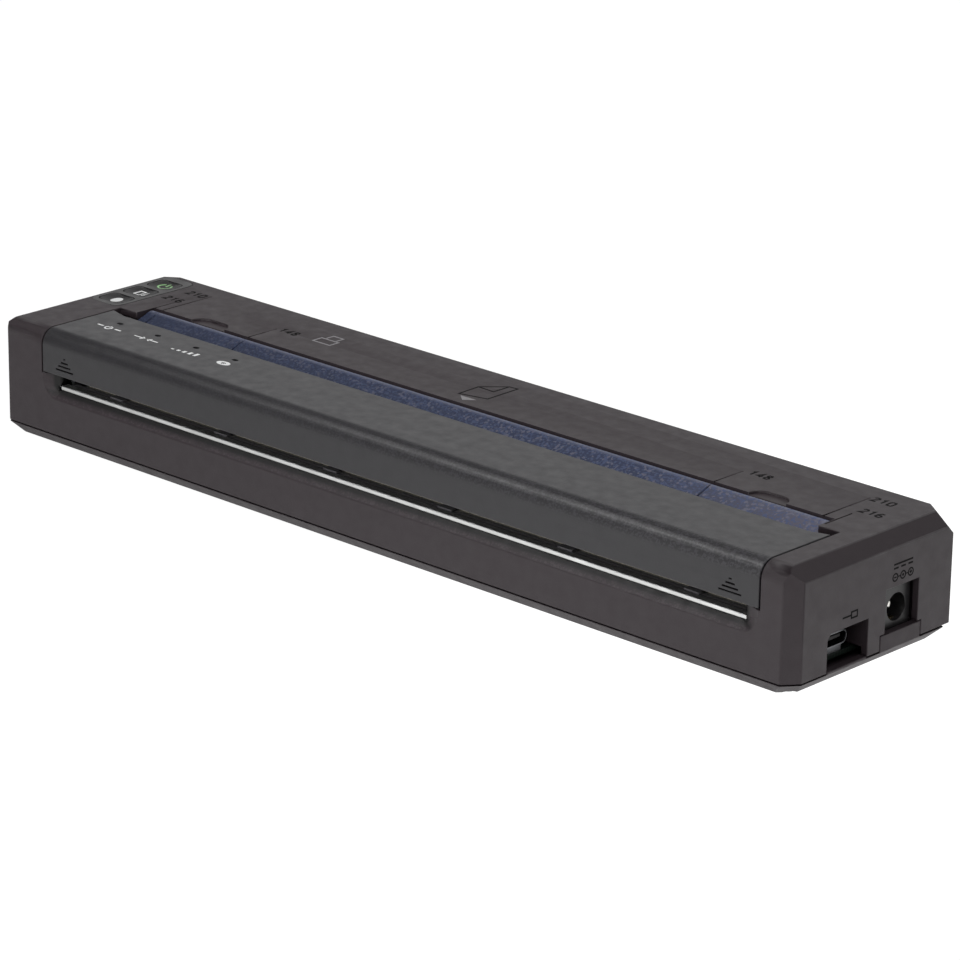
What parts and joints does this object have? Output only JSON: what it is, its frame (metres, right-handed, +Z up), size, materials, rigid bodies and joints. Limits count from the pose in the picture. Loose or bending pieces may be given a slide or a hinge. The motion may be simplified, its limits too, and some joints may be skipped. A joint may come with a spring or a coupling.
{
  "type": "portable thermal printer",
  "caption": "Slim portable thermal printer with a hinged release cover, paper inlet, exit slot with tear bar, keys, sockets, platen roller, gear drive and battery.",
  "frame": {"origin": "middle of the footprint, on the surface that the feet stand on", "axes": "+X along the case towards the sockets, -Y out of the paper exit slot, +Z up"},
  "size_m": [0.255, 0.055, 0.03],
  "materials": {
    "case_plastic": "fine textured, warm black",
    "base_plastic": "fine textured black",
    "cover_plastic": "fine textured, sparkling at the front rounding",
    "ramp_plastic": "metallic dark blue",
    "black_plastic": "smooth black",
    "white_plastic": "moulded natural acetal",
    "keypad_plastic": "smooth dark grey",
    "key_plastic": "smooth dark grey, dished",
    "steel": "satin",
    "bright_steel": "bright",
    "screw_steel": "dark zinc",
    "spring_steel": "bright wire",
    "motor_steel": "zinc",
    "socket_steel": "nickel",
    "radio_shield": "tinned",
    "aluminium": "extruded",
    "ceramic": "glazed",
    "pinion_brass": "machined",
    "contact_brass": "gold plated",
    "platen_rubber": "ground",
    "foot_rubber": "moulded",
    "board_green": "solder mask",
    "chip_plastic": "moulded epoxy",
    "ribbon": "polyimide",
    "lens": "smoked clear",
    "battery_wrap": "shrink wrap"
  },
  "bodies": {
    "case": {"upper_case": "case_plastic", "bottom_case": "base_plastic", "hinge_pins": "steel", "inlet_guide": "ramp_plastic", "tear_bar": "bright_steel", "exit_guide": "black_plastic", "side_frame_left": "steel", "side_frame_right": "steel", "chassis_plate": "steel", "chassis_screws": "screw_steel", "platen_bushings": "white_plastic", "gear_pins": "steel", "gear_clips": "steel", "motor_body": "motor_steel", "motor_screws": "screw_steel", "head_pivot_pins": "steel", "head_springs": "spring_steel", "keypad_frame": "keypad_plastic", "key_board": "board_green", "key_switches": "black_plastic", "main_board": "board_green", "board_screws": "screw_steel", "board_chips": "chip_plastic", "capacitors": "aluminium", "radio_module": "radio_shield", "key_ribbon": "ribbon", "paper_sensor": "black_plastic", "usb_socket": "socket_steel", "usb_tongue": "black_plastic", "power_jack": "black_plastic", "jack_pin": "bright_steel", "jack_contact": "bright_steel", "battery_pack": "battery_wrap", "contact_block": "black_plastic", "contact_blades": "contact_brass", "rubber_feet": "foot_rubber", "case_screws": "screw_steel"},
    "cover": {"release_cover": "cover_plastic", "led_lenses": "lens", "led_board": "board_green"},
    "platen": {"platen_shaft": "steel", "platen_sleeve": "platen_rubber", "platen_gear": "white_plastic"},
    "idler": {"idler_gear": "white_plastic"},
    "reduction": {"reduction_gear": "white_plastic"},
    "rotor": {"motor_shaft": "steel", "motor_pinion": "pinion_brass"},
    "print_head": {"heat_sink": "aluminium", "head_ceramic": "ceramic"},
    "power_button": {"power_key": "key_plastic"},
    "feed_button": {"feed_key": "key_plastic"},
    "wireless_button": {"wireless_key": "key_plastic"},
    "battery_door": {"battery_cover": "base_plastic"}
  },
  "joints": [
    {"name": "cover_hinge", "type": "hinge", "parent": "case", "child": "cover", "pos_m": [0, -0.0085, 0.026], "axis": [-1, 0, 0], "range_deg": [0, 70]},
    {"name": "platen_spin", "type": "hinge", "parent": "case", "child": "platen", "pos_m": [0, -0.016, 0.0212], "axis": [1, 0, 0], "continuous": true},
    {"name": "idler_spin", "type": "hinge", "parent": "case", "child": "idler", "pos_m": [0, -0.00735, 0.01514], "axis": [1, 0, 0], "continuous": true},
    {"name": "reduction_spin", "type": "hinge", "parent": "case", "child": "reduction", "pos_m": [0, 0.00108, 0.01366], "axis": [1, 0, 0], "continuous": true},
    {"name": "motor_spin", "type": "hinge", "parent": "case", "child": "rotor", "pos_m": [0, 0.0131, 0.0147], "axis": [1, 0, 0], "continuous": true},
    {"name": "head_pivot", "type": "hinge", "parent": "case", "child": "print_head", "pos_m": [0, -0.0104, 0.013], "axis": [1, 0, 0], "range_deg": [0, 5], "stiffness_Nm_per_rad": 2, "springref_deg": -2.86, "deforming": ["head_springs"]},
    {"name": "power_press", "type": "slide", "parent": "case", "child": "power_button", "axis": [0, 0, -1], "range_m": [0, 0.0005], "stiffness_N_per_m": 600, "springref_m": -0.0003},
    {"name": "feed_press", "type": "slide", "parent": "case", "child": "feed_button", "axis": [0, 0, -1], "range_m": [0, 0.0005], "stiffness_N_per_m": 600, "springref_m": -0.0003},
    {"name": "wireless_press", "type": "slide", "parent": "case", "child": "wireless_button", "axis": [0, 0, -1], "range_m": [0, 0.0005], "stiffness_N_per_m": 600, "springref_m": -0.0003},
    {"name": "battery_cover_slide", "type": "slide", "parent": "case", "child": "battery_door", "axis": [0, 1, 0], "range_m": [0, 0.006]}
  ],
  "couplings": [
    {"joint": "idler_spin", "follows": "platen_spin", "ratio": -1.1},
    {"joint": "reduction_spin", "follows": "platen_spin", "ratio": 1.5714},
    {"joint": "motor_spin", "follows": "platen_spin", "ratio": -4.7143}
  ]
}
